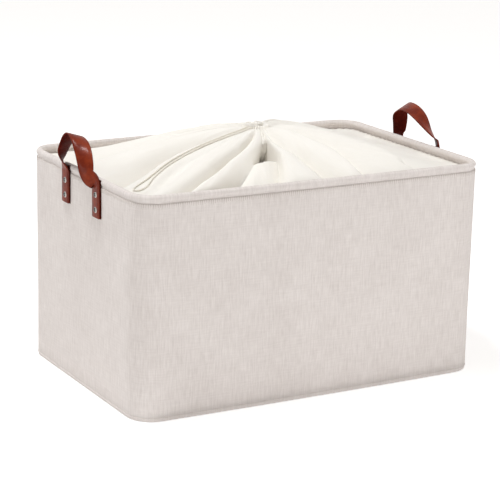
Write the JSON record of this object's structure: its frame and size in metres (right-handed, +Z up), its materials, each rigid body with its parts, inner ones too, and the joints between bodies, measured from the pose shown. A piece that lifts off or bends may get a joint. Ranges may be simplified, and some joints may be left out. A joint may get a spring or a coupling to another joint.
{
  "type": "fabric storage bin",
  "caption": "Rectangular soft storage bin with stiffened cloth walls, wired rim, gathered drawstring cover and riveted leather handles.",
  "frame": {"origin": "centre of the base, on the floor", "axes": "+X along the long side, +Y across, +Z up"},
  "size_m": [0.6365, 0.4022, 0.3964],
  "materials": {
    "linen_cloth": "linen-look woven cloth",
    "lining_cloth": "plain woven lining",
    "felt": "stiff felted interlining",
    "cotton": "soft plain cotton",
    "cord": "braided cotton cord",
    "leather": "glossy cognac brown",
    "dark_leather": "dark brown flesh side",
    "nickel": "polished nickel plate",
    "steel_wire": "galvanised drawn wire",
    "greyboard": "pressed fibre board"
  },
  "bodies": {
    "bin": {"outer_wall": "linen_cloth", "wall_interlining": "felt", "inner_lining": "lining_cloth", "bottom_panel": "linen_cloth", "bottom_welt": "linen_cloth", "base_board": "greyboard", "bottom_lining": "lining_cloth", "rim_wire": "steel_wire", "rim_binding": "linen_cloth", "closure_cover": "cotton", "hem_cord": "cord", "drawcord_tail": "cord", "left_front_strap_leg": "leather", "left_front_backing_tab": "dark_leather", "left_front_rivet_caps": "nickel", "left_front_rivet_backs": "nickel", "left_front_rivet_washers": "nickel", "left_rear_strap_leg": "leather", "left_rear_backing_tab": "dark_leather", "left_rear_rivet_caps": "nickel", "left_rear_rivet_backs": "nickel", "left_rear_rivet_washers": "nickel", "right_front_strap_leg": "leather", "right_front_backing_tab": "dark_leather", "right_front_rivet_caps": "nickel", "right_front_rivet_backs": "nickel", "right_front_rivet_washers": "nickel", "right_rear_strap_leg": "leather", "right_rear_backing_tab": "dark_leather", "right_rear_rivet_caps": "nickel", "right_rear_rivet_backs": "nickel", "right_rear_rivet_washers": "nickel"},
    "left_handle": {"left_handle_arch": "leather"},
    "right_handle": {"right_handle_arch": "leather"}
  },
  "joints": [
    {"name": "left_handle_fold", "type": "hinge", "parent": "bin", "child": "left_handle", "pos_m": [-0.3038, -0.005, 0.324], "axis": [0, -1, 0], "range_deg": [0, 100], "stiffness_Nm_per_rad": 0.05},
    {"name": "right_handle_fold", "type": "hinge", "parent": "bin", "child": "right_handle", "pos_m": [0.3038, -0.005, 0.324], "axis": [0, 1, 0], "range_deg": [0, 100], "stiffness_Nm_per_rad": 0.05}
  ]
}
